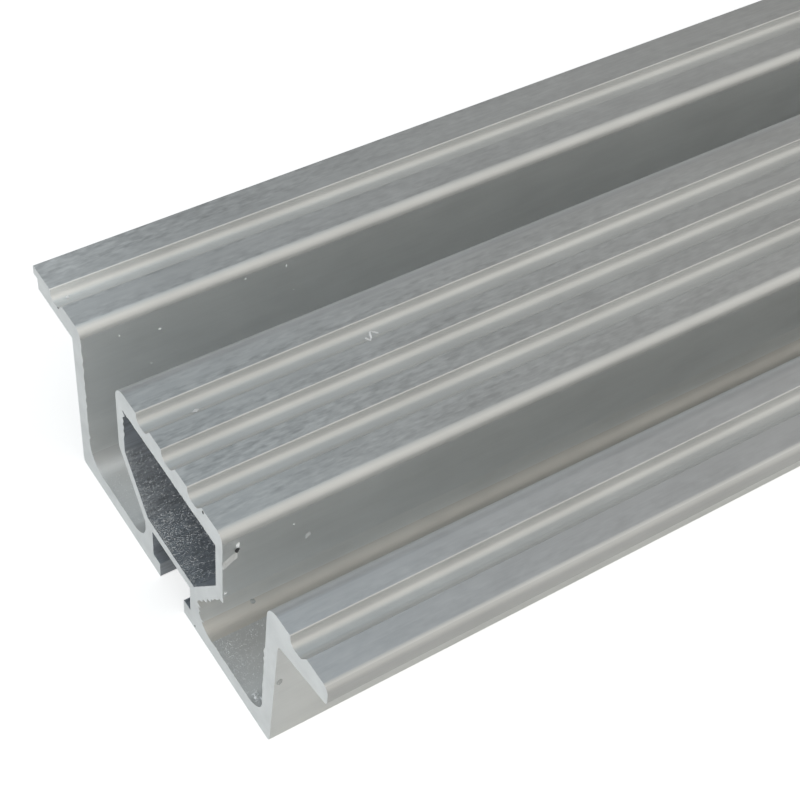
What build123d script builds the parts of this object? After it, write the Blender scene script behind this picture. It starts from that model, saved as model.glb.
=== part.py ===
# Lift door threshold: one extruded aluminium sill with a ribbed tread, two guide grooves,
# a hollow tread block between them and a bolt slot along the underside.
# X runs along the sill, the front edge faces -Y, Z is up. The origin is the middle of the underside.
import math
import os

from build123d import *

# Overall
sill_length = 800.0
sill_height = 38.4

# Floor and the two guide walls that stand on it
floor_thickness = 3.8
floor_edge_radius = 1.0
back_wall = 3.5
front_wall_foot = 2.75
front_wall_root = 3.6
front_wall_lean = 0.9
guide_groove_width = 13.1
guide_groove_radius = 5.0
mouth_back_radius = 2.0
mouth_front_radius = 3.3

# Hollow tread block between the guide grooves
block_width = 36.8
block_side_depth = 16.4
block_top = 4.4
block_wall = 2.25
hollow_radius = 0.6

# Bolt slot under the block, for the heads of M8 hexagon bolts
slot_width = 13.7
slot_height = 6.7
slot_roof = 2.1
slot_mouth = 8.8
slot_web = 2.7

# Back flange with a thin lip along its edge
back_overhang = 15.0
back_thickness = 4.7
lip_reach = 1.5
lip_thickness = 2.1
lip_radius = 0.3

# Front flange, thick at the wall and thin at the nose
front_reach = 18.5
front_root_thickness = 7.2
front_nose_thickness = 4.3
front_root_radius = 1.5
nose_radius = 1.5
nose_under_radius = 1.2

# Ribbed tread
tread_groove_width = 4.7
tread_groove_depth = 2.1
tread_groove_radius = 1.5
tread_ramp = 1.6
tread_pitch = 8.83
block_groove_count = 3
first_land = 7.7
back_land = 6.9
land_edge_radius = 0.25

# Places that follow from the sizes
block_edge = block_width / 2
groove_edge = block_edge + guide_groove_width
wall_edge = groove_edge + back_wall
back_edge = wall_edge + back_overhang
front_edge = groove_edge + front_reach
stem_edge = slot_width / 2 + slot_web
shoulder_height = floor_thickness + slot_height
block_side_height = sill_height - block_side_depth
hollow_floor = shoulder_height + slot_roof
hollow_ceiling = sill_height - block_top
hollow_edge = block_edge - block_wall

# The front wall leans away from its groove and grows thicker up to the root of its flange
front_mouth = groove_edge + front_wall_lean
front_foot = groove_edge + front_wall_foot
root_height = sill_height - front_root_thickness
root_lean = front_wall_lean * (root_height - floor_thickness) / (sill_height - floor_thickness)
front_root = groove_edge + root_lean + front_wall_root

# The block's lower walls lean in to the bolt slot, and the hollow follows them one wall further in
lean = math.atan2(block_edge - stem_edge, block_side_height - shoulder_height)
hollow_side_height = block_side_height + block_wall * math.tan(lean / 2)
hollow_floor_edge = hollow_edge - (hollow_side_height - hollow_floor) * math.tan(lean)

# Tread grooves are placed by their back edge, from back to front
block_grooves = [block_edge - first_land - n * tread_pitch for n in range(block_groove_count)]
tread_grooves = [back_edge - back_land, *block_grooves, -groove_edge - first_land]
tread_floor = sill_height - tread_groove_depth
groove_bottom_radius = min(tread_groove_radius, 0.45 * tread_groove_width, 0.8 * tread_groove_depth)
guide_bottom_radius = min(guide_groove_radius, 0.8 * slot_height, 0.45 * guide_groove_width)


def nearest_corners(sketch, places):
    """The sketch corners that lie closest to the given places."""
    return [sketch.vertices().sort_by_distance(place)[0] for place in places]


with BuildPart() as sill_profile:
    with BuildSketch(Plane.YZ.offset(-sill_length / 2)) as section:
        # Floor
        Rectangle(2 * groove_edge, floor_thickness, align=(Align.CENTER, Align.MIN))

        # Back guide wall
        with Locations((groove_edge, 0)):
            Rectangle(back_wall, sill_height, align=(Align.MIN, Align.MIN))

        # Front guide wall and front flange
        with BuildLine():
            Polyline(
                (-groove_edge, 0),
                (-groove_edge, floor_thickness),
                (-front_mouth, sill_height),
                (-front_edge, sill_height),
                (-front_edge, sill_height - front_nose_thickness),
                (-front_root, root_height),
                (-front_foot, 0),
                close=True,
            )
        make_face()

        # Tread block and its stem, drawn as one half and mirrored
        with BuildLine():
            Polyline(
                (0, sill_height),
                (block_edge, sill_height),
                (block_edge, block_side_height),
                (stem_edge, shoulder_height),
                (stem_edge, 0),
                (0, 0),
            )
            mirror(about=Plane.YZ)
        make_face()

        # Back flange and its lip
        with Locations((wall_edge, sill_height)):
            Rectangle(back_overhang - lip_reach, back_thickness, align=(Align.MIN, Align.MAX))
            Rectangle(back_overhang, lip_thickness, align=(Align.MIN, Align.MAX))

        # Hollow inside the block
        with BuildLine():
            Polyline(
                (0, hollow_ceiling),
                (hollow_edge, hollow_ceiling),
                (hollow_edge, hollow_side_height),
                (hollow_floor_edge, hollow_floor),
                (0, hollow_floor),
            )
            mirror(about=Plane.YZ)
        make_face(mode=Mode.SUBTRACT)

        # Bolt slot and its mouth
        with Locations((0, floor_thickness)):
            Rectangle(slot_width, slot_height, align=(Align.CENTER, Align.MIN), mode=Mode.SUBTRACT)
        Rectangle(slot_mouth, floor_thickness, align=(Align.CENTER, Align.MIN), mode=Mode.SUBTRACT)

        # Tread grooves, upright at the back and ramped at the front
        ramp_foot = tread_ramp - tread_groove_width
        with Locations(*[(groove_back, sill_height) for groove_back in tread_grooves]):
            Polygon(
                (0, 0),
                (-tread_groove_width, 0),
                (ramp_foot, -tread_groove_depth),
                (0, -tread_groove_depth),
                align=None,
                mode=Mode.SUBTRACT,
            )

        # Rounds of the tread grooves
        groove_feet = [y for back in tread_grooves for y in (back, back + ramp_foot)]
        fillet(nearest_corners(section, [(y, tread_floor) for y in groove_feet]), groove_bottom_radius)
        fillet(nearest_corners(section, [(y, sill_height) for y in tread_grooves]), land_edge_radius)

        # Rounds of the guide grooves, at the mouth and on the floor
        for mouth_edges, mouth_radius in (
            ((groove_edge, -block_edge), mouth_back_radius),
            ((block_edge, -front_mouth), mouth_front_radius),
        ):
            fillet(nearest_corners(section, [(y, sill_height) for y in mouth_edges]), mouth_radius)
        floor_ends = [groove_edge, stem_edge, -stem_edge, -groove_edge]
        fillet(nearest_corners(section, [(y, floor_thickness) for y in floor_ends]), guide_bottom_radius)

        # Rounds of the hollow
        hollow_corners = [
            (side * y, z)
            for side in (1, -1)
            for y, z in ((hollow_edge, hollow_ceiling), (hollow_floor_edge, hollow_floor))
        ]
        fillet(nearest_corners(section, hollow_corners), hollow_radius)

        # Rounds of the outer edges
        fillet(nearest_corners(section, [(wall_edge, 0), (-front_foot, 0)]), floor_edge_radius)
        fillet(nearest_corners(section, [(back_edge, sill_height)]), lip_radius)
        fillet(nearest_corners(section, [(-front_edge, sill_height)]), nose_radius)
        nose_under = (-front_edge, sill_height - front_nose_thickness)
        fillet(nearest_corners(section, [nose_under]), nose_under_radius)
        fillet(nearest_corners(section, [(-front_root, root_height)]), front_root_radius)

    extrude(amount=sill_length)

sill_profile.part.label = "sill_profile"

os.makedirs("parts", exist_ok=True)
export_step(sill_profile.part, "parts/sill_profile.step")
print("section area", round(sill_profile.part.volume / sill_length, 1), "mm2")
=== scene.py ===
# %% [markdown]
# # A lift door threshold in extruded aluminium
# This is the sill that the doors of a lift run on: one aluminium extrusion, sawn to length, with a ribbed
# tread, two guide grooves, a hollow block between them and a bolt slot underneath.
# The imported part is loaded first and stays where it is, so everything below is drawn in its frame, in metres.

# %% Load the part
import math
import random

import bmesh
import bpy
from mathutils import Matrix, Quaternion, Vector, geometry


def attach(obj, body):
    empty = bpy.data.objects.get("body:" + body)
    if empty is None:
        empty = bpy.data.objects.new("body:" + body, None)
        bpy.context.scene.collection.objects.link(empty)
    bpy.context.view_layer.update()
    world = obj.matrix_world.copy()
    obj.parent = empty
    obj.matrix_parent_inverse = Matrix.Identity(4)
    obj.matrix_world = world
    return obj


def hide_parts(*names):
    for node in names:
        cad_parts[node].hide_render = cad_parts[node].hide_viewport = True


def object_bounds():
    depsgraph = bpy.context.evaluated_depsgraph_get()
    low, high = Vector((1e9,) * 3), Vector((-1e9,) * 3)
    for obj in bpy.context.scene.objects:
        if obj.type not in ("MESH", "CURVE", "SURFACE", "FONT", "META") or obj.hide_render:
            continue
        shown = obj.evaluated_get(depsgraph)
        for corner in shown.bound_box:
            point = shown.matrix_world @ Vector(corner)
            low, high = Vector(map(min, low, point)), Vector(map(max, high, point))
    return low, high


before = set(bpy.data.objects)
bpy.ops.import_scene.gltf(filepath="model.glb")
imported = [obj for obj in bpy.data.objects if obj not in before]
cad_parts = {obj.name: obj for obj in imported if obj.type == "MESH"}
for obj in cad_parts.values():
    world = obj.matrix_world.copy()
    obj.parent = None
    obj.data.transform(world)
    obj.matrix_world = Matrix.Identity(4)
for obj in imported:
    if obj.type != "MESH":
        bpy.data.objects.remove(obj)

MM = 0.001
cad_box = [[float(value) for value in corner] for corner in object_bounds()]
near_end = cad_box[0][0]
far_end = cad_box[1][0]
print("part from", cad_box[0], "to", cad_box[1])

# %% [markdown]
# ## Camera
# The photograph was taken close to one sawn end, from the front and well above, with the camera a little
# rolled. A camera can be set by three angles, but a place, a point to look at and a roll are easier to read,
# so those are given here, measured from the sawn end, the middle of the sill and the floor.

# %% Camera
camera_place = Vector((near_end - 77.05 * MM, -158.72 * MM, 255.58 * MM))
camera_aim = Vector((near_end + 39.59 * MM, -8.04 * MM, 38.4 * MM))
camera_roll = math.radians(6.49)
camera_lens = 77.65
camera_near = 0.01

camera_data = bpy.data.cameras.new("camera")
camera_data.lens = camera_lens
camera_data.clip_start = camera_near
camera = bpy.data.objects.new("camera", camera_data)
bpy.context.collection.objects.link(camera)
look = (camera_aim - camera_place).to_track_quat("-Z", "Y")
camera.rotation_mode = "QUATERNION"
camera.rotation_quaternion = look @ Quaternion((0, 0, 1), camera_roll)
camera.location = camera_place
bpy.context.scene.camera = camera
print("camera", round((camera_aim - camera_place).length, 4), "m from the tread")

# %% [markdown]
# ## Section of the sill
# An extrusion is its section, so the section is drawn once, as corners that each carry their own radius.
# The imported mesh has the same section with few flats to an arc, which shows this close. Drawing the section
# again with fine arcs keeps the form and lets the light run smoothly round every corner.
# The sizes are in millimetres, as a drawing of the die would give them. Corners that the drawing leaves sharp
# get the small radius that a die leaves on them.

# %% Sizes of the section
sill_height = 38.4
floor_thickness = 3.8
floor_edge_radius = 1.0
back_wall = 3.5
front_wall_foot = 2.75
front_wall_root = 3.6
front_wall_lean = 0.9
guide_groove_width = 13.1
guide_groove_radius = 5.0
mouth_back_radius = 2.0
mouth_front_radius = 3.3
block_width = 36.8
block_side_depth = 16.4
block_top = 4.4
block_wall = 2.25
hollow_radius = 0.6
slot_width = 13.7
slot_height = 6.7
slot_roof = 2.1
slot_mouth = 8.8
slot_web = 2.7
back_overhang = 15.0
back_thickness = 4.7
lip_reach = 1.5
lip_thickness = 2.1
lip_radius = 0.3
front_reach = 18.5
front_root_thickness = 7.2
front_nose_thickness = 4.3
front_root_radius = 1.5
nose_radius = 1.5
nose_under_radius = 1.2
tread_groove_width = 4.7
tread_groove_depth = 2.1
tread_groove_radius = 1.5
tread_ramp = 1.6
tread_pitch = 8.83
block_groove_count = 3
first_land = 7.7
back_land = 6.9
land_edge_radius = 0.25
die_radius = 0.15
print("section", sill_height, "mm high, block", block_width, "mm wide")

# %% Places in the section
block_edge = block_width / 2
groove_edge = block_edge + guide_groove_width
wall_edge = groove_edge + back_wall
back_edge = wall_edge + back_overhang
front_edge = groove_edge + front_reach
front_mouth = groove_edge + front_wall_lean
front_foot = groove_edge + front_wall_foot
root_height = sill_height - front_root_thickness
root_lean = front_wall_lean * (root_height - floor_thickness) / (sill_height - floor_thickness)
front_root = groove_edge + root_lean + front_wall_root
stem_edge = slot_width / 2 + slot_web
shoulder_height = floor_thickness + slot_height
block_side_height = sill_height - block_side_depth
hollow_floor = shoulder_height + slot_roof
hollow_ceiling = sill_height - block_top
hollow_edge = block_edge - block_wall
lean = math.atan2(block_edge - stem_edge, block_side_height - shoulder_height)
hollow_side_height = block_side_height + block_wall * math.tan(lean / 2)
hollow_floor_edge = hollow_edge - (hollow_side_height - hollow_floor) * math.tan(lean)
tread_floor = sill_height - tread_groove_depth
block_grooves = [block_edge - first_land - n * tread_pitch for n in range(block_groove_count)]
print("section from", round(-front_edge, 2), "to", round(back_edge, 2), "mm across")


def groove_corners(back):
    """The four corners of one tread groove, from its back edge to its front edge."""
    front = back - tread_groove_width
    return [
        (back, sill_height, land_edge_radius),
        (back, tread_floor, tread_groove_radius),
        (front + tread_ramp, tread_floor, tread_groove_radius),
        (front, sill_height, die_radius),
    ]


# %% Corners of the section
tread_corners = [
    (back_edge, sill_height, lip_radius),
    *groove_corners(back_edge - back_land),
    (groove_edge, sill_height, mouth_back_radius),
    (groove_edge, floor_thickness, guide_groove_radius),
    (stem_edge, floor_thickness, guide_groove_radius),
    (stem_edge, shoulder_height, die_radius),
    (block_edge, block_side_height, die_radius),
    (block_edge, sill_height, mouth_front_radius),
    *[corner for back in block_grooves for corner in groove_corners(back)],
    (-block_edge, sill_height, mouth_back_radius),
    (-block_edge, block_side_height, die_radius),
    (-stem_edge, shoulder_height, die_radius),
    (-stem_edge, floor_thickness, guide_groove_radius),
    (-groove_edge, floor_thickness, guide_groove_radius),
    (-front_mouth, sill_height, mouth_front_radius),
    *groove_corners(-groove_edge - first_land),
    (-front_edge, sill_height, nose_radius),
]
underside_corners = [
    (-front_edge, sill_height - front_nose_thickness, nose_under_radius),
    (-front_root, root_height, front_root_radius),
    (-front_foot, 0, floor_edge_radius),
    (-slot_mouth / 2, 0, die_radius),
    (-slot_mouth / 2, floor_thickness, die_radius),
    (-slot_width / 2, floor_thickness, die_radius),
    (-slot_width / 2, shoulder_height, die_radius),
    (slot_width / 2, shoulder_height, die_radius),
    (slot_width / 2, floor_thickness, die_radius),
    (slot_mouth / 2, floor_thickness, die_radius),
    (slot_mouth / 2, 0, die_radius),
    (wall_edge, 0, floor_edge_radius),
    (wall_edge, sill_height - back_thickness, die_radius),
    (back_edge - lip_reach, sill_height - back_thickness, die_radius),
    (back_edge - lip_reach, sill_height - lip_thickness, die_radius),
    (back_edge, sill_height - lip_thickness, die_radius),
]
hollow_corners = [
    (-hollow_edge, hollow_ceiling, hollow_radius),
    (hollow_edge, hollow_ceiling, hollow_radius),
    (hollow_edge, hollow_side_height, die_radius),
    (hollow_floor_edge, hollow_floor, hollow_radius),
    (-hollow_floor_edge, hollow_floor, hollow_radius),
    (-hollow_edge, hollow_side_height, die_radius),
]
print("section of", len(tread_corners) + len(underside_corners) + len(hollow_corners), "corners")

# %% [markdown]
# ## Fine mesh of the sill
# Each corner becomes an arc, and each point of the outline keeps the direction that its surface faces there.
# Those directions are given to the mesh as its own normals. Blender could average them from the faces, but
# then the wide flats beside the small arcs would be shaded as if they were bulged.

# %% Round the corners
arc_step = math.radians(7.5)


def rounded(corners):
    """Points and outward directions, in metres, of a closed outline with its corners rounded."""
    points = []
    for n, (y, z, radius) in enumerate(corners):
        corner = Vector((y, z))
        before = (corner - Vector(corners[n - 1][:2])).normalized()
        after = (Vector(corners[(n + 1) % len(corners)][:2]) - corner).normalized()
        turn = math.atan2(before.x * after.y - before.y * after.x, before.dot(after))
        first = Vector((before.y, -before.x))
        last = Vector((after.y, -after.x))
        side = math.copysign(1, turn)
        centre = corner - side * radius * (first + last) / (1 + first.dot(last))
        steps = max(2, math.ceil(abs(turn) / arc_step))
        for k in range(steps + 1):
            angle = math.atan2(first.y, first.x) + turn * k / steps
            facing = Vector((math.cos(angle), math.sin(angle)))
            points.append(((centre + side * radius * facing) * MM, facing))
    return points


skin = rounded(tread_corners + underside_corners)
hollow = rounded(hollow_corners)
print("outline of", len(skin), "points, hollow of", len(hollow))

# %% [markdown]
# ## Which finish goes where
# The sill is rubbed where feet and doors reach it and dull in its grooves. The floors of its guide grooves are
# a darker grey, browner at the foot of the front stem, and the front stem is a little warmer. Some finishes
# paint
# light and shade: the nose, the hollow and the bolt slot are darker copies as painted shade, and the rounded
# edges that face back carry a painted highlight. Masks painted over the whole sill could place these finishes,
# but each of them starts and ends at an edge of the section, so every strip of the outline is given its finish
# by its place in the section.

# %% Kinds of finish
LAND, FLANGE, NOSE, EDGE, CLEAN, STEM, FOOT, WALL, GUIDE, HOLLOW, SAWN = range(11)
land_height = sill_height - 0.1 * die_radius
nose_start = front_edge - nose_radius / 2
flange_underside = sill_height - front_nose_thickness
guide_top = floor_thickness + guide_groove_radius / 2
foot_top = floor_thickness + guide_groove_radius / 3


def kind_between(first, second):
    """The finish of the strip between two points of the outer outline."""
    y = (first.x + second.x) / 2 / MM
    across = abs(y)
    height = (first.y + second.y) / 2 / MM
    on_block_edge = block_edge - mouth_front_radius < y < block_edge
    on_wall_edge = front_mouth < -y < front_mouth + mouth_front_radius
    on_stem = stem_edge - die_radius < -y < stem_edge + guide_groove_radius
    if height > land_height:
        return FLANGE if y < -front_mouth else LAND
    if across > nose_start:
        return NOSE
    if height > sill_height - mouth_front_radius and (on_block_edge or on_wall_edge):
        return EDGE
    if height > flange_underside:
        return CLEAN
    if across < stem_edge and 0 < height < shoulder_height + die_radius:
        return HOLLOW
    if on_stem and floor_thickness < height < shoulder_height:
        return STEM if height > foot_top else FOOT
    if stem_edge < across < groove_edge and 0 < height < guide_top:
        return GUIDE
    return WALL


skin_kinds = [kind_between(skin[k][0], skin[(k + 1) % len(skin)][0]) for k in range(len(skin))]
hollow_kinds = [HOLLOW] * len(hollow)
print("outer outline with", len(set(skin_kinds)), "finishes")

# %% [markdown]
# ## Along the sill
# The die pushes the section out in one length, so the mesh repeats it at stations along X. The stations stand
# closer together towards the two ends, where the camera is close. An extruded curve would be shorter to write,
# but a mesh built by hand keeps each strip's own finish and normals.

# %% Draw the section along the sill
station_count = 48
stations = [
    near_end + (far_end - near_end) * (1 - math.cos(math.pi * s / station_count)) / 2
    for s in range(station_count + 1)
]

places = []
faces = []
face_kinds = []
corner_normals = []
for loop, kinds in ((skin, skin_kinds), (hollow, hollow_kinds)):
    start = len(places)
    size = len(loop)
    places += [(x, point.x, point.y) for x in stations for point, facing in loop]
    for s in range(station_count):
        for k in range(size):
            after = (k + 1) % size
            here = start + s * size
            faces.append((here + k, here + after, here + size + after, here + size + k))
            face_kinds.append(kinds[k])
            corner_normals += [(0, *loop[n][1]) for n in (k, after, after, k)]
print("sides of", len(faces), "faces")

# %% Close the two sawn ends
loops = [[Vector((0, *point)) for point, facing in loop] for loop in (skin, hollow)]
flat = loops[0] + loops[1]
hollow_start = len(skin) * (station_count + 1)


def end_point(n, station):
    """The mesh point that belongs to point n of the flat section at one end."""
    if n < len(skin):
        return station * len(skin) + n
    return hollow_start + station * len(hollow) + n - len(skin)


sawn_area = 0
for triangle in geometry.tessellate_polygon(loops):
    a, b, c = (flat[n] for n in triangle)
    facing = (b - a).cross(c - a)
    sawn_area += facing.length / 2
    ordered = triangle if facing.x < 0 else triangle[::-1]
    for station, way, turned in ((0, -1, ordered), (station_count, 1, ordered[::-1])):
        faces.append(tuple(end_point(n, station) for n in turned))
        face_kinds.append(SAWN)
        corner_normals += [(way, 0, 0)] * 3

sill_mesh = bpy.data.meshes.new("threshold_sill")
sill_mesh.from_pydata(places, [], faces)
sill_mesh.polygons.foreach_set("material_index", face_kinds)
sill_mesh.polygons.foreach_set("use_smooth", [True] * len(faces))
sill_mesh.normals_split_custom_set(corner_normals)
sill = bpy.data.objects.new("threshold_sill", sill_mesh)
bpy.context.collection.objects.link(sill)
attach(sill, "root")
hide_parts("sill_profile")
print("sill of", len(faces), "faces, sawn face", round(sawn_area / MM**2, 1), "mm2")

# %% [markdown]
# ## Finish of the aluminium
# Mill-finish aluminium comes out of the die satin grey, with faint lines drawn along it and a cloudy bloom.
# A photograph of the metal could be wrapped on, but a few noise textures, stretched along the sill,
# give the same lines at any distance and on every face.

# %% Shader helpers


def material(name):
    """A new node material, its tree and its metal shader."""
    made = bpy.data.materials.new(name)
    made.use_nodes = True
    return made, made.node_tree, made.node_tree.nodes["Principled BSDF"]


def plug(tree, socket, value):
    """Give a socket a value, or join it to another node's socket."""
    if isinstance(value, bpy.types.NodeSocket):
        tree.links.new(value, socket)
    else:
        socket.default_value = value


def node(tree, kind, settings=None, **sockets):
    """A shader node with its sockets plugged, by name or by number after an underscore."""
    made = tree.nodes.new(kind)
    for name, value in (settings or {}).items():
        setattr(made, name, value)
    for name, value in sockets.items():
        plug(tree, made.inputs[int(name[1:])] if name[0] == "_" else made.inputs[name], value)
    return made


def sums(tree, operation, *values):
    """The result of a sum on two or three values."""
    made = node(tree, "ShaderNodeMath", {"operation": operation})
    for socket, value in zip(made.inputs, values):
        plug(tree, socket, value)
    return made.outputs[0]


def ranged(tree, value, before, after, kind="LINEAR"):
    """A value taken from one range to another, and held at its ends."""
    made = node(tree, "ShaderNodeMapRange", {"interpolation_type": kind}, Value=value)
    for name, numbers in (("From", before), ("To", after)):
        made.inputs[name + " Min"].default_value = numbers[0]
        made.inputs[name + " Max"].default_value = numbers[1]
    return made.outputs["Result"]


def mixed(tree, how, share, first, second):
    """Two colours mixed."""
    made = node(tree, "ShaderNodeMix", {"data_type": "RGBA", "blend_type": how}, _0=share, _6=first, _7=second)
    return made.outputs[2]


def object_place(tree):
    """The place on the object, in metres."""
    return node(tree, "ShaderNodeTexCoord").outputs["Object"]


def drawn_noise(tree, scale, detail):
    """Noise on the object's own coordinates, with a scale of its own along each axis, per metre."""
    stretched = node(tree, "ShaderNodeMapping", Vector=object_place(tree), Scale=scale).outputs["Vector"]
    return node(tree, "ShaderNodeTexNoise", Vector=stretched, Scale=1.0, Detail=detail).outputs["Fac"]


noise_range = (0.3, 0.7)


def spread(tree, noise, low, high):
    """A noise around one half, opened out to the range from low to high."""
    return ranged(tree, noise, noise_range, (low, high))


def tinted(tree, colour, shade):
    """A colour made lighter or darker by a shade around one."""
    return mixed(tree, "MULTIPLY", 1.0, colour, shade)


print("noise opened out from", noise_range)

# %% [markdown]
# ## Extruded faces
# The metal is lined by the die and scuffed in short dashes where feet have rubbed it, more so near the cut.
# Around the back corner of the sawn end the grey is painted paler, as painted light, and the two rounded edges
# that face back get a painted highlight just below the tread. One material could hold all of it behind masks,
# but one recipe, called with its own strengths for each kind of face, is easier to follow and to tune.

# %% Where the metal is scuffed, and where light is painted on
scuff_reach = 0.13
scuffs_far_away = 0.33
# Painted light: a paler patch around the back corner of the sawn end, as strong as given and fading over its
# reach
painted_light_corner = (near_end, back_edge * MM, sill_height * MM)
painted_light_reach = 0.024
painted_light_strength = 1.34
# Painted highlight: the depth below the tread over which a rounded edge is painted brighter
highlight_depth = 0.35 * MM


def near_the_cut(tree):
    """One at the sawn end, falling to a third further along the sill."""
    along = node(tree, "ShaderNodeSeparateXYZ", Vector=object_place(tree)).outputs["X"]
    return ranged(tree, along, (near_end, near_end + scuff_reach), (1.0, scuffs_far_away))


def painted_corner_light(tree):
    """Painted light: a paler patch around the back corner of the sawn end, fading away from it."""
    away = node(
        tree, "ShaderNodeVectorMath", {"operation": "DISTANCE"}, _0=object_place(tree), _1=painted_light_corner
    ).outputs["Value"]
    return ranged(tree, away, (0.0, painted_light_reach), (painted_light_strength, 1.0))


def painted_edge_highlight(tree, highlight):
    """Painted highlight: one on the tread, rising to the given highlight just below it on a rounded edge."""
    height = node(tree, "ShaderNodeSeparateXYZ", Vector=object_place(tree)).outputs["Z"]
    tread = sill_height * MM
    return ranged(tree, height, (tread - highlight_depth, tread), (highlight, 1.0))


print("scuffs fade over", scuff_reach, "m, the bloom over", painted_light_reach, "m")

# %% Extruded faces
line_scale = (14, 2400, 2400)
dash_scale = (420, 1500, 1500)
cloud_scale = (60, 160, 160)
streak_scale = (7, 520, 90)
line_darker = 0.05
line_lighter = 0.04
cloud_shade = (0.96, 1.04)
streak_share = (0.1, 1.0)
scuff_darker = 0.26
scuff_lighter = 0.1
dash_relief = (0.0, 0.3)
relief_strength = 0.35
relief_depth = 0.008 * MM


def extruded_finish(name, grey, metal, smooth, rough, drawn, scuffed, highlight=1.0):
    """Drawn lines, clouds and scuffs as strong as given, with painted light at the back corner and on rounded
    edges.
    """
    made, tree, shader = material(name)
    lines = drawn_noise(tree, line_scale, 3)
    dashes = drawn_noise(tree, dash_scale, 2)
    clouds = drawn_noise(tree, cloud_scale, 2)
    streaks = drawn_noise(tree, streak_scale, 1)
    lined = spread(tree, lines, 1 - line_darker * drawn, 1 + line_lighter * drawn)
    shade = sums(tree, "MULTIPLY", lined, spread(tree, clouds, *cloud_shade))
    scuff = sums(tree, "MULTIPLY", spread(tree, streaks, *streak_share), near_the_cut(tree))
    dashed = spread(tree, dashes, -scuff_darker * scuffed, scuff_lighter * scuffed)
    shade = sums(tree, "MULTIPLY", shade, sums(tree, "MULTIPLY_ADD", dashed, scuff, 1.0))
    shade = sums(tree, "MULTIPLY", shade, sums(tree, "MULTIPLY", painted_corner_light(tree), painted_edge_highlight(tree, highlight)))
    relief = sums(tree, "ADD", lines, spread(tree, dashes, *dash_relief))
    bump = node(
        tree, "ShaderNodeBump", Height=relief, Strength=relief_strength * drawn, Distance=relief_depth
    ).outputs["Normal"]
    plug(tree, shader.inputs["Base Color"], tinted(tree, grey, shade))
    plug(tree, shader.inputs["Roughness"], spread(tree, dashes, smooth, rough))
    plug(tree, shader.inputs["Normal"], bump)
    shader.inputs["Metallic"].default_value = metal
    print("finish", made.name)
    return made


# Each finish: grey, metal, smooth, rough, drawn, scuffed and, for the rounded edges, a painted highlight
rubbed = extruded_finish("rubbed_aluminium", (0.67, 0.67, 0.665, 1), 0.5, 0.36, 0.44, 0.7, 1.15)
flange = extruded_finish("flange_aluminium", (0.69, 0.69, 0.695, 1), 0.5, 0.36, 0.44, 0.5, 0.4)
# The nose is a darker copy of the flange's finish: painted shade on the rounded front of the flange
nose = extruded_finish("nose_aluminium", (0.63, 0.63, 0.625, 1), 0.5, 0.38, 0.42, 0.4, 0.1)
# The two rounded edges that face back carry a painted highlight just below the tread
edge = extruded_finish("edge_aluminium", (0.69, 0.69, 0.685, 1), 0.5, 0.4, 0.46, 0.6, 0.4, 1.25)
clean = extruded_finish("clean_aluminium", (0.72, 0.72, 0.71, 1), 0.6, 0.44, 0.5, 0.5, 0.2)
matt = extruded_finish("matt_aluminium", (0.92, 0.93, 0.925, 1), 0.92, 0.42, 0.48, 0.3, 0.06)
stem = extruded_finish("stem_aluminium", (0.94, 0.94, 0.925, 1), 0.88, 0.45, 0.5, 0.3, 0.06)
foot = extruded_finish("foot_aluminium", (0.83, 0.80, 0.755, 1), 0.85, 0.45, 0.5, 0.3, 0.06)
guide = extruded_finish("guide_aluminium", (0.80, 0.805, 0.805, 1), 0.85, 0.48, 0.54, 0.3, 0.06)
# The hollow and the bolt slot take a darker, bluish copy of the wall finish: painted shade inside them
inner = extruded_finish("inner_aluminium", (0.65, 0.68, 0.72, 1), 0.8, 0.32, 0.44, 2.5, 0.8)

# %% [markdown]
# ## Sawn faces
# A saw leaves a bright, fine-toothed face that scatters the light, so the two ends are paler than the rest. A
# picture of saw marks could be wrapped on them, but noise stretched across the cut gives marks of any fineness.

# %% Sawn faces
saw_grey = (0.92, 0.92, 0.91, 1)
saw_metal = 0.4
saw_shade = (0.94, 1.04)
saw_rough = (0.42, 0.55)
saw_cloud_scale = (200, 200, 200)
tooth_scale = (300, 900, 5000)
tooth_strength = 0.3
tooth_depth = 0.01 * MM

sawn, tree, shader = material("sawn_aluminium")
teeth = drawn_noise(tree, tooth_scale, 3)
clouds = drawn_noise(tree, saw_cloud_scale, 2)
bump = node(tree, "ShaderNodeBump", Height=teeth, Strength=tooth_strength, Distance=tooth_depth)
plug(tree, shader.inputs["Base Color"], tinted(tree, saw_grey, spread(tree, clouds, *saw_shade)))
plug(tree, shader.inputs["Roughness"], spread(tree, teeth, *saw_rough))
plug(tree, shader.inputs["Normal"], bump.outputs["Normal"])
shader.inputs["Metallic"].default_value = saw_metal
print("finish", sawn.name)

for finish in (rubbed, flange, nose, edge, clean, stem, foot, matt, guide, inner, sawn):
    sill_mesh.materials.append(finish)

# %% [markdown]
# ## What the saw left
# Nobody has filed this end: a ragged burr hangs on some edges of the cut, splinters lie in the hollow and on
# the floors of the guide grooves, and a chip has scored the wall of the front groove.
# Painted marks would lie flat when the light moves, so each of these is a small closed solid of its own.

# %% Helpers for small solids
chance = random.Random(7)


def small_solids(name, parts, finish):
    """One object made of little solids, with their points in millimetres and X counted from the cut."""
    shape = bmesh.new()
    for points, sides in parts:
        corners = [shape.verts.new((near_end + x * MM, y * MM, z * MM)) for x, y, z in points]
        for side in sides:
            shape.faces.new([corners[n] for n in side])
    bmesh.ops.recalc_face_normals(shape, faces=shape.faces)
    mesh = bpy.data.meshes.new(name)
    shape.to_mesh(mesh)
    shape.free()
    mesh.materials.append(finish)
    piece = bpy.data.objects.new(name, mesh)
    bpy.context.collection.objects.link(piece)
    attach(piece, "root")
    print(name, "of", len(parts), "solids")


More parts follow.
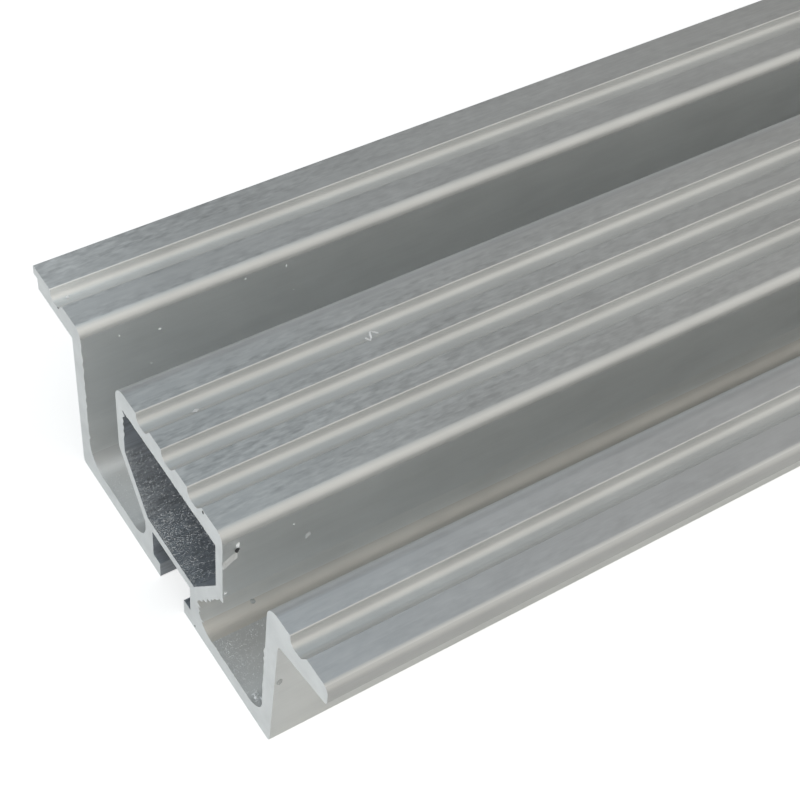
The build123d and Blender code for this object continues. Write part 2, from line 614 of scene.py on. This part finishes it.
def strip(edge, tips, through):
    """A thin strip from one line of points to another, as thick as the step through it."""
    count = len(edge)
    near = [Vector(point) for point in (*edge, *tips)]
    far = 2 * count
    sides = []
    for a in range(count - 1):
        b, c, d = a + 1, count + a + 1, count + a
        sides += [(a, b, c, d), (far + d, far + c, far + b, far + a)]
        sides += [(b, a, far + a, far + b), (d, c, far + c, far + d)]
    for a, b in ((0, count), (count - 1, far - 1)):
        sides.append((a, b, far + b, far + a))
    return near + [point + Vector(through) for point in near], sides


splinter_rise = 0.6
splinter_sink = 0.3


def splinter(place, along, up, length, width):
    """An eight-sided sliver of metal that lies on a surface."""
    place = Vector(place)
    along = Vector(along).normalized() * length / 2
    up = Vector(up).normalized() * width
    across = up.cross(along).normalized() * width / 2
    ends = [place + along, place - along, place + across, place - across]
    ends += [place + up * splinter_rise, place - up * splinter_sink]
    sides = [(0, 2, 4), (2, 1, 4), (1, 3, 4), (3, 0, 4), (2, 0, 5), (1, 2, 5), (3, 1, 5), (0, 3, 5)]
    return ends, sides


print("small solids drawn from one seeded row of chances")

# %% Torn metal and dust
fine_grain = 3000
coarse_grain = 2500


def grainy_finish(name, colour, shade, rough, metal, scale, detail):
    """A finish with a fine grain in its shade and roughness."""
    made, tree, shader = material(name)
    grain = drawn_noise(tree, (scale, scale, scale), detail)
    plug(tree, shader.inputs["Base Color"], tinted(tree, colour, spread(tree, grain, *shade)))
    plug(tree, shader.inputs["Roughness"], spread(tree, grain, *rough))
    shader.inputs["Metallic"].default_value = metal
    print("finish", made.name)
    return made


torn = grainy_finish("torn_aluminium", (0.86, 0.88, 0.89, 1), (0.9, 1.05), (0.24, 0.4), 0.6, fine_grain, 2)
dust = grainy_finish("aluminium_dust", (0.90, 0.91, 0.92, 1), (0.85, 1.05), (0.45, 0.65), 0.15, fine_grain, 2)

# %% [markdown]
# ## Burrs
# The blade drags metal over the edges where it leaves them. A burr could be drawn tooth by tooth, but it is a
# torn strip, so it is made from the path of its edge, the reach of its teeth and their pitch.

# %% Burrs along the cut edges
burr_root = 0.15
burr_proud = 0.03
burr_thickness = 0.07
burr_slant = 0.45


def burr(path, reach, pitch):
    """A torn strip along edges of the cut, hanging out to the right of the way they run."""
    edge = []
    tips = []
    for n in range(len(path) - 1):
        start, end = Vector(path[n]), Vector(path[n + 1])
        way = (end - start).normalized()
        out = Vector((way.y, -way.x))
        count = max(2, round((end - start).length / pitch))
        for k in range(count + (n == len(path) - 2)):
            place = start + (end - start) * k / count
            grown = chance.uniform(*reach) if k % 2 else chance.uniform(0, burr_root)
            slant = chance.uniform(-burr_slant, burr_slant) * pitch * way
            edge.append((-burr_proud, *(place - burr_root * out)))
            tips.append((-burr_proud, *(place + slant + grown * out)))
    return strip(edge, tips, (burr_thickness, 0, 0))


def front_wall_point(height):
    """A point on the groove side of the leaning front wall."""
    rise = (height - floor_thickness) / (sill_height - floor_thickness)
    return -groove_edge - front_wall_lean * rise, height


floor_front = (-groove_edge + guide_groove_radius, floor_thickness)
floor_back = (groove_edge - guide_groove_radius, floor_thickness)
stem_foot_front = (-stem_edge - guide_groove_radius, floor_thickness)
stem_foot_back = (stem_edge + guide_groove_radius, floor_thickness)

# Each burr: its path, the reach of its teeth and their pitch
burrs = [
    burr([(hollow_edge, 33.5), (hollow_edge, 26.8)], (0.3, 1.3), 0.8),
    burr([(-block_edge, block_side_height), (-stem_edge, shoulder_height)], (0.2, 0.9), 1.1),
    burr([(-stem_edge, 9.8), (-stem_edge - 0.05, 8.4), (-9.9, 7.0), (-10.8, 5.5)], (0.3, 1.5), 0.6),
    burr([(-hollow_edge, hollow_ceiling), (hollow_edge, hollow_ceiling)], (0.06, 0.25), 0.5),
    burr([(hollow_floor_edge, hollow_floor), (-hollow_floor_edge, hollow_floor)], (0.05, 0.2), 0.4),
    burr([stem_foot_front, floor_front], (0.12, 0.4), 0.5),
    burr([floor_back, stem_foot_back], (0.08, 0.3), 0.6),
    burr([(groove_edge, 36.0), (groove_edge, 9.5)], (0.15, 0.6), 1.5),
    burr([front_wall_point(9.0), front_wall_point(21.5)], (0.06, 0.22), 1.6),
    burr([front_wall_point(21.5), front_wall_point(25.5)], (0.3, 0.6), 0.9),
]
smear_root = 0.02
smear_lift = 0.25
smear_thickness = 0.2
smear_top = [(2.7, 33.1), (1.9, 32.9), (1.2, 32.5), (0.6, 32.1), (0.0, 31.7)]
smear_foot = [(2.6, 31.7), (1.7, 31.2), (1.1, 30.8), (0.55, 30.4), (0.0, 30.2)]
smear_lines = (
    [(x, -block_edge + smear_root, z) for x, z in smear_top],
    [(x, -block_edge - smear_lift, z) for x, z in smear_foot],
)
burrs.append(strip(*smear_lines, (0, smear_thickness, 0)))
small_solids("saw_burrs", burrs, sawn)

# %% [markdown]
# ## Splinters and dust
# Sawing throws splinters into the hollow and dust onto the floors of the grooves, thickest near the cut.
# Blender can strew things by particles, but a short loop with a seed gives the same splinters in every run.

# %% Splinters in the hollow and the slot
strewn_start = 0.2
strewn_thinning = 1.6


def strewn(first, last, count, depth, lengths, widths, swing):
    """Splinters on a flat strip of the section, thinning out away from the cut."""
    first, last = Vector(first), Vector(last)
    way = (last - first).normalized()
    up = (0, way.y, -way.x)
    made = []
    for n in range(count):
        place = first + (last - first) * chance.random()
        turn = chance.uniform(-swing, swing)
        along = (math.cos(turn), math.sin(turn) * way.x, math.sin(turn) * way.y)
        length = chance.uniform(*lengths)
        width = min(chance.uniform(*widths), length / 2)
        from_cut = strewn_start + depth * chance.random() ** strewn_thinning
        made.append(splinter((from_cut, *place), along, up, length, width))
    return made


hollow_corner = (hollow_floor_edge, hollow_floor)
wall_top = (hollow_edge, hollow_side_height)
wall_half = [(a + b) / 2 for a, b in zip(wall_top, hollow_corner)]
hollow_front = (-hollow_floor_edge, hollow_floor)
slot_side = (slot_width / 2, shoulder_height), (slot_width / 2, floor_thickness)

# Each set: from, to, count, depth from the cut, lengths, widths and swing
splinters = [
    *strewn(wall_top, hollow_corner, 110, 13, (0.25, 0.9), (0.05, 0.1), 0.35),
    *strewn(wall_half, hollow_corner, 170, 13, (0.25, 1.0), (0.05, 0.11), 0.45),
    *strewn(hollow_corner, hollow_front, 260, 13, (0.25, 1.1), (0.05, 0.1), 0.5),
    *strewn(hollow_corner, (0, hollow_floor), 150, 13, (0.2, 0.8), (0.05, 0.12), 0.7),
    *strewn((0, hollow_floor), hollow_front, 16, 8, (1.2, 2.6), (0.1, 0.16), 0.5),
    *strewn(*slot_side, 16, 5, (0.2, 0.6), (0.06, 0.14), 0.8),
]
small_solids("saw_splinters", splinters, torn)

# %% Dust and flakes
flake_count = 30
flake_up = (0.3, 0.4, 0.8)
flake_from_cut = (0.1, 1.6)
flake_across = (-29.6, -27.6)
flake_height = (4.3, 5.6)
flake_size = (0.3, 0.8)
flecks = [
    *strewn(stem_foot_front, floor_front, 900, 13, (0.1, 0.3), (0.07, 0.14), 1.5),
    *strewn(floor_back, stem_foot_back, 300, 15, (0.12, 0.34), (0.08, 0.16), 1.5),
    *strewn(wall_top, hollow_corner, 560, 14, (0.12, 0.5), (0.05, 0.12), 0.9),
    *strewn(wall_half, hollow_front, 70, 12, (0.4, 0.9), (0.1, 0.18), 0.6),
    *strewn(hollow_corner, hollow_front, 1100, 14, (0.12, 0.5), (0.05, 0.13), 0.8),
    *strewn(hollow_corner, (0, hollow_floor), 480, 11, (0.12, 0.4), (0.07, 0.16), 1.2),
]
for n in range(flake_count):
    place = [chance.uniform(*limits) for limits in (flake_from_cut, flake_across, flake_height)]
    along = [chance.uniform(-1, 1) for axis in range(3)]
    size = chance.uniform(*flake_size)
    flecks.append(splinter(place, along, flake_up, size, size / 2))
small_solids("saw_dust", flecks, dust)

# %% [markdown]
# ## Chips and a curl of swarf
# A few bright chips stick to the tread and the block's front wall, and one curl of swarf lies on the tread.
# They stand in definite places, so they are placed one by one instead of strewn.

# %% Chips and specks
block_front = -block_edge
FRONT, UP, LEFT = (0, -1, 0), (0, 0, 1), (-1, 0, 0)
specks = [
    splinter((9.45, 7.71, tread_floor + 0.5), (1, 0, 0), UP, 1.5, 0.8),
    splinter((2.54, 41.57, tread_floor + 0.4), (1, 0.3, 0), UP, 0.7, 0.65),
    splinter((0.05, 32.3, 37.5), (0, 1, 0), LEFT, 0.4, 0.25),
    splinter((13.06, block_front, 33.39), (1, 0, 0.3), FRONT, 0.45, 0.25),
    splinter((0.5, block_front, 23.07), (1, 0, 0.4), FRONT, 0.7, 0.45),
    splinter((2.81, block_front, 34.67), (0.5, 0, 1), FRONT, 1.3, 0.8),
]
small_solids("chips_and_specks", specks, dust)

# %% Curl of swarf on the tread
curl_path = [
    (44.64, 6.67, 0.05),
    (44.0, 7.0, 0.25),
    (43.4, 7.25, 0.5),
    (43.05, 7.1, 0.6),
    (42.9, 6.65, 0.45),
    (42.85, 6.25, 0.2),
    (42.45, 5.85, 0.1),
    (42.1, 6.2, 0.2),
    (41.9, 6.6, 0.3),
]
curl_width = 0.34
curl_thickness = 0.06

curl_sides = [], []
for n in range(len(curl_path)):
    nearby = max(n - 1, 0), n, min(n + 1, len(curl_path) - 1)
    before, place, after = (Vector(curl_path[k]) for k in nearby)
    out = (after - before).cross(Vector(UP)).normalized() * curl_width / 2
    for side, way in zip(curl_sides, (1, -1)):
        side.append(place + way * out + sill_height * Vector(UP))
small_solids("swarf_curl", [strip(*curl_sides, (0, 0, curl_thickness))], dust)

# %% [markdown]
# ## Dirt, a painted pit shadow, smudges and pale scuffs
# Some dark crumbs of dirt stick to the cut, and a dark patch of the same finish on the block's front wall is
# the painted shadow of the pit that the chip scored there. One grey smudge lies in the front groove and one on
# the front wall, and the walls of the grooves have pale scuffs. They could be painted into the finish, but a
# flat little solid with an uneven rim keeps its place and catches the light.

# %% Dirt and the painted pit shadow
dirt_and_pit_shade_finish = grainy_finish("dark_dirt_and_pit_shade", (0.07, 0.07, 0.075, 1), (0.5, 1.5), (0.55, 0.8), 0.0, coarse_grain, 3)

patch_rim = 12
patch_ragged = (0.7, 1.1)
patch_rise = 0.06
patch_sink = 0.1


def spot(place, facing, wide, high):
    """A flat patch with an uneven rim, on a face that looks the given way."""
    place = Vector(place)
    facing = Vector(facing).normalized()
    right = Vector((0, 1, 0)) if abs(facing.x) > abs(facing.y) + abs(facing.z) else Vector((1, 0, 0))
    rise = facing.cross(right)
    points = []
    for k in range(patch_rim):
        angle = 2 * math.pi * k / patch_rim
        ragged = chance.uniform(*patch_ragged) / 2
        rim = right * wide * math.cos(angle) + rise * high * math.sin(angle)
        points.append(place + ragged * rim)
    points += [place + facing * patch_rise, place - facing * patch_sink]
    sides = []
    for k in range(patch_rim):
        after = (k + 1) % patch_rim
        sides += [(k, after, patch_rim), (after, k, patch_rim + 1)]
    return points, sides


dirt_and_pit_shade_spots = [
    # Painted shadow: this first patch, on the block's front wall, is the shade in the chip's pit; the rest are
    # dirt
    spot((2.65, block_front - 0.05, 33.4), FRONT, 0.95, 1.3),
    spot((-0.02, -12.19, 37.8), LEFT, 0.6, 0.9),
    spot((0, -8.42, 0.86), LEFT, 0.4, 0.5),
    spot((0, 40.11, 36.5), LEFT, 0.7, 0.25),
    spot((0, -10.3, 7.6), LEFT, 0.35, 0.6),
]
small_solids("dirt_crumbs_and_pit_shade", dirt_and_pit_shade_spots, dirt_and_pit_shade_finish)

# %% Smudges
smudge = grainy_finish("grey_smudge", (0.53, 0.54, 0.54, 1), (0.8, 1.2), (0.55, 0.8), 0.0, coarse_grain, 3)
smudge_height = 19.2
web_face = -front_foot - (front_root - front_foot) * smudge_height / root_height
smudges = [
    spot((9.8, -11.4, 5.1), (0, -0.65, 0.76), 1.1, 1.1),
    spot((0.9, web_face - 0.05, smudge_height), FRONT, 1.2, 1.8),
]
small_solids("smudges", smudges, smudge)

# %% Pale scuffs
pale = grainy_finish("pale_scuff", (0.82, 0.83, 0.83, 1), (0.9, 1.1), (0.5, 0.7), 0.2, coarse_grain, 3)
pale_scuffs = [
    spot((15.87, block_front - 0.03, 28.56), FRONT, 1.3, 1.9),
    splinter((7.32, groove_edge, 33.76), (1, 0, 0.4), FRONT, 0.35, 0.25),
    splinter((15.12, groove_edge, 31.52), (1, 0, 0.2), FRONT, 0.7, 0.4),
    splinter((18.12, groove_edge, 24.42), (0.2, 0, 1), FRONT, 0.5, 0.18),
    splinter((13.17, groove_edge, 23.57), (1, 0, 0.1), FRONT, 0.55, 0.18),
    splinter((40.84, groove_edge, 34.99), (0.3, 0, 1), FRONT, 0.9, 0.3),
    splinter((32.39, groove_edge, 35.67), (1, 0, 0.2), FRONT, 0.45, 0.25),
    splinter((42.62, groove_edge, 28.02), (1, 0, 0.5), FRONT, 0.4, 0.2),
]
small_solids("pale_scuffs", pale_scuffs, pale)

# %% [markdown]
# ## Floor and light
# The object lies on a plain white floor, as in a shop's photograph. A white floor could be had by lighting it
# harder, but that would burn out the metal, so the floor glows a little where the camera sees it,
# and the rest of its white comes from the lamps, which leaves the shadow in place.

# %% Floor
floor_reach = 12.0
floor_drop = 0.05 * MM
floor_glow = 0.66
floor_white = (0.74, 0.74, 0.74, 1)

floor_mesh = bpy.data.meshes.new("floor")
floor_corners = [
    (x * floor_reach, y * floor_reach, -floor_drop) for x, y in ((-1, -1), (1, -1), (1, 1), (-1, 1))
]
floor_mesh.from_pydata(floor_corners, [], [(0, 1, 2, 3)])
floor = bpy.data.objects.new("floor", floor_mesh)
bpy.context.collection.objects.link(floor)

floor_paper, tree, shader = material("floor_paper")
tree.nodes.remove(shader)
rays = node(tree, "ShaderNodeLightPath").outputs
glow = sums(tree, "MULTIPLY", rays["Is Camera Ray"], floor_glow)
shine = node(tree, "ShaderNodeEmission", Strength=glow).outputs[0]
paper = node(tree, "ShaderNodeBsdfDiffuse", Color=floor_white).outputs[0]
both = node(tree, "ShaderNodeAddShader", _0=shine, _1=paper).outputs[0]
tree.links.new(both, tree.nodes["Material Output"].inputs["Surface"])
floor_mesh.materials.append(floor_paper)
print("floor", 2 * floor_reach, "m across")

# %% [markdown]
# ## Room
# Aluminium shows the room it stands in: bright in front, dim behind, cool on the left and warmer on the right.
# A picture of a studio would do, but three tones that pass into each other are enough for satin metal.

# %% Room
left_tone = (0.13, 0.148, 0.172, 1)
right_tone = (0.168, 0.159, 0.15, 1)
front_tone = (0.72, 0.71, 0.67, 1)
left_to_right = (0.2, 0.65)
front_to_back = (-0.35, 0.6)

world = bpy.data.worlds.new("studio")
world.use_nodes = True
tree = world.node_tree
way = node(tree, "ShaderNodeTexCoord").outputs["Generated"]
ways = node(tree, "ShaderNodeSeparateXYZ", Vector=way).outputs


def blend(tree, along, limits, first, second):
    """One tone that passes softly into another between two limits along an axis."""
    share = ranged(tree, along, limits, (0.0, 1.0), "SMOOTHSTEP")
    return mixed(tree, "MIX", share, first, second)


back_tone = blend(tree, ways["X"], left_to_right, left_tone, right_tone)
tent = blend(tree, ways["Y"], front_to_back, front_tone, back_tone)
tree.links.new(tent, tree.nodes["Background"].inputs["Color"])
bpy.context.scene.world = world
bpy.context.scene.view_settings.view_transform = "Standard"
print("room lit from", left_tone[:3], "to", front_tone[:3])

# %% [markdown]
# ## Lamps
# A large softbox in front and above gives the broad light on the tread. A low fill lights the sawn end, and a
# small cool window behind lifts the back of the part. One sun lamp would be simpler, but its hard edge would
# show in the metal.

# %% Lamps


def lamp(name, place, aim, size, power, colour):
    """A flat lamp that faces a point."""
    data = bpy.data.lights.new(name, "AREA")
    data.shape = "RECTANGLE"
    data.size, data.size_y = size
    data.energy = power
    data.color = colour
    made = bpy.data.objects.new(name, data)
    made.location = place
    made.rotation_mode = "QUATERNION"
    made.rotation_quaternion = (aim - place).to_track_quat("-Z", "Y")
    bpy.context.collection.objects.link(made)
    print(name, power, "W")


softbox_size = (2.2, 1.6)
softbox_place = Vector((near_end + 0.45, -0.75, 1.25))
softbox_aim = Vector((near_end + 0.06, 0, 0.03))
softbox_power = 2.3
softbox_colour = (1.0, 0.99, 0.963)

fill_size = (0.3, 0.08)
fill_place = Vector((near_end - 0.32, -0.02, 0.05))
fill_aim = Vector((near_end, 0, 0.03))
fill_power = 0.36
fill_colour = (0.85, 0.94, 1.0)

window_size = (0.3, 0.3)
window_place = Vector((near_end, 0.12, 0.38))
window_aim = Vector((near_end, 0, 0.03))
window_power = 0.12
window_colour = (0.55, 0.82, 1.0)

lamp("softbox", softbox_place, softbox_aim, softbox_size, softbox_power, softbox_colour)
lamp("fill", fill_place, fill_aim, fill_size, fill_power, fill_colour)
lamp("window", window_place, window_aim, window_size, window_power, window_colour)
